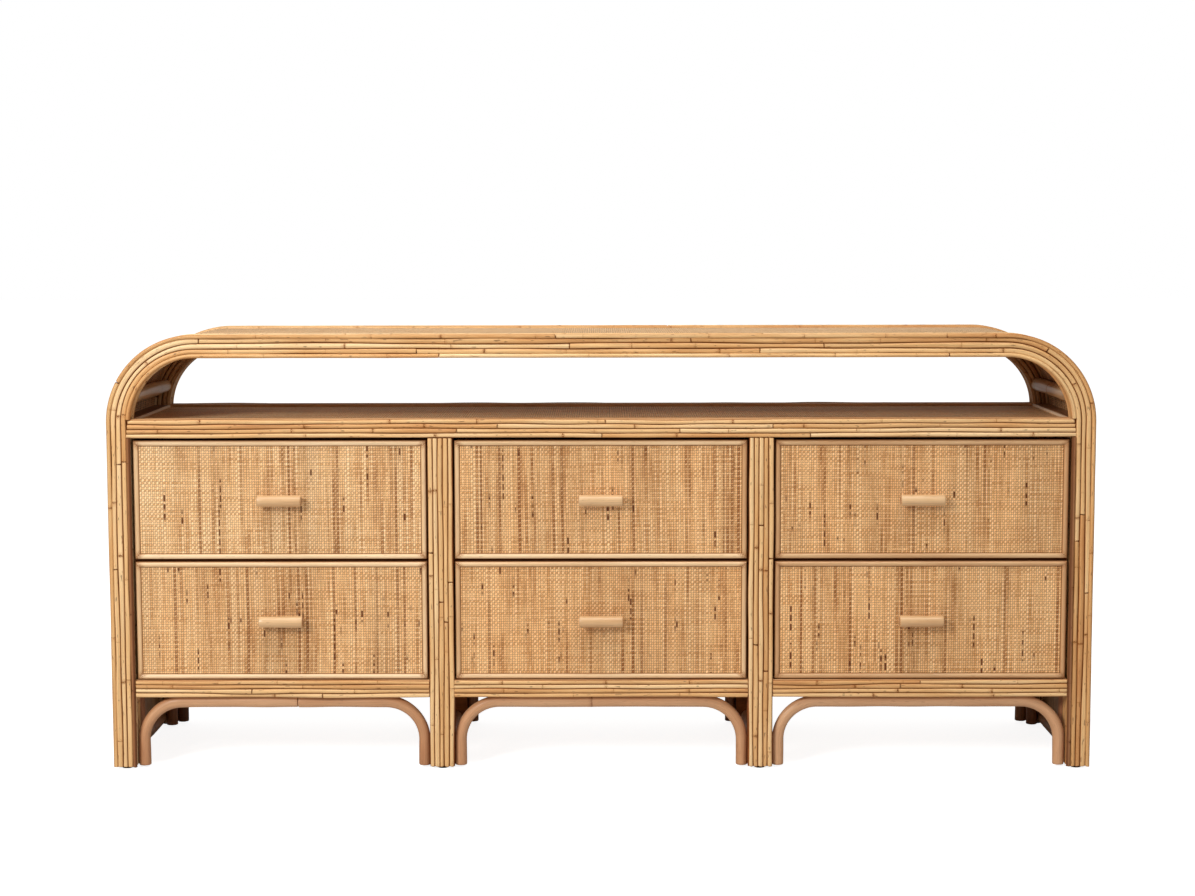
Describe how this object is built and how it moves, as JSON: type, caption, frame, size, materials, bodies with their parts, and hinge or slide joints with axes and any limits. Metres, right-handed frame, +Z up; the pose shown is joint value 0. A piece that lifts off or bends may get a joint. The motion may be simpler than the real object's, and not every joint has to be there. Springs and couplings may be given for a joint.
{
  "type": "dresser with drawers",
  "caption": "Wide rattan dresser with sliding drawers, an open shelf compartment above them and a rounded waterfall top covered in woven matting.",
  "frame": {"origin": "on the floor, at the centre of the dresser's footprint, handles included", "axes": "+X to the right of someone who faces the drawers, +Y to the back, +Z up"},
  "size_m": [1.8, 0.426, 0.803],
  "materials": {
    "cane_strips": "semi-gloss natural split cane, honey tan",
    "peeled_rattan": "satin peeled rattan pole, pinkish brown",
    "pale_moulding": "satin peeled rattan moulding, pale tan",
    "woven_matting": "matt woven natural matting with brown streaks",
    "frame_pole": "matt rattan core, mostly hidden",
    "carcass_board": "satin light plywood",
    "glide_plastic": "matt black plastic"
  },
  "bodies": {
    "cabinet": {"front_arch_pole": "frame_pole", "rear_arch_pole": "frame_pole", "front_arch_strips": "cane_strips", "rear_arch_strips": "cane_strips", "left_side_board": "carcass_board", "right_side_board": "carcass_board", "bent_corner_boards": "carcass_board", "top_board": "carcass_board", "outer_matting": "woven_matting", "compartment_matting": "woven_matting", "shelf_board": "carcass_board", "shelf_matting": "woven_matting", "shelf_edge_trims": "pale_moulding", "front_rails": "frame_pole", "rear_rails": "frame_pole", "rail_strips": "cane_strips", "centre_posts": "frame_pole", "post_strips": "cane_strips", "partitions": "carcass_board", "bottom_board": "carcass_board", "back_panels": "carcass_board", "back_matting": "woven_matting", "drawer_dividers": "carcass_board", "drawer_runners": "carcass_board", "front_leg_braces": "peeled_rattan", "rear_leg_braces": "peeled_rattan", "floor_stretchers": "peeled_rattan", "corner_poles": "peeled_rattan", "compartment_side_poles": "peeled_rattan", "foot_glides": "glide_plastic"},
    "drawer_bottom_left": {"drawer_bottom_left_front_board": "carcass_board", "drawer_bottom_left_front_matting": "woven_matting", "drawer_bottom_left_front_moulding": "pale_moulding", "drawer_bottom_left_handle": "peeled_rattan", "drawer_bottom_left_box": "carcass_board"},
    "drawer_bottom_middle": {"drawer_bottom_middle_front_board": "carcass_board", "drawer_bottom_middle_front_matting": "woven_matting", "drawer_bottom_middle_front_moulding": "pale_moulding", "drawer_bottom_middle_handle": "peeled_rattan", "drawer_bottom_middle_box": "carcass_board"},
    "drawer_bottom_right": {"drawer_bottom_right_front_board": "carcass_board", "drawer_bottom_right_front_matting": "woven_matting", "drawer_bottom_right_front_moulding": "pale_moulding", "drawer_bottom_right_handle": "peeled_rattan", "drawer_bottom_right_box": "carcass_board"},
    "drawer_top_left": {"drawer_top_left_front_board": "carcass_board", "drawer_top_left_front_matting": "woven_matting", "drawer_top_left_front_moulding": "pale_moulding", "drawer_top_left_handle": "peeled_rattan", "drawer_top_left_box": "carcass_board"},
    "drawer_top_middle": {"drawer_top_middle_front_board": "carcass_board", "drawer_top_middle_front_matting": "woven_matting", "drawer_top_middle_front_moulding": "pale_moulding", "drawer_top_middle_handle": "peeled_rattan", "drawer_top_middle_box": "carcass_board"},
    "drawer_top_right": {"drawer_top_right_front_board": "carcass_board", "drawer_top_right_front_matting": "woven_matting", "drawer_top_right_front_moulding": "pale_moulding", "drawer_top_right_handle": "peeled_rattan", "drawer_top_right_box": "carcass_board"}
  },
  "joints": [
    {"name": "drawer_bottom_left_slide", "type": "slide", "parent": "cabinet", "child": "drawer_bottom_left", "axis": [0, -1, 0], "range_m": [0, 0.25]},
    {"name": "drawer_bottom_middle_slide", "type": "slide", "parent": "cabinet", "child": "drawer_bottom_middle", "axis": [0, -1, 0], "range_m": [0, 0.25]},
    {"name": "drawer_bottom_right_slide", "type": "slide", "parent": "cabinet", "child": "drawer_bottom_right", "axis": [0, -1, 0], "range_m": [0, 0.25]},
    {"name": "drawer_top_left_slide", "type": "slide", "parent": "cabinet", "child": "drawer_top_left", "axis": [0, -1, 0], "range_m": [0, 0.25]},
    {"name": "drawer_top_middle_slide", "type": "slide", "parent": "cabinet", "child": "drawer_top_middle", "axis": [0, -1, 0], "range_m": [0, 0.25]},
    {"name": "drawer_top_right_slide", "type": "slide", "parent": "cabinet", "child": "drawer_top_right", "axis": [0, -1, 0], "range_m": [0, 0.25]}
  ]
}
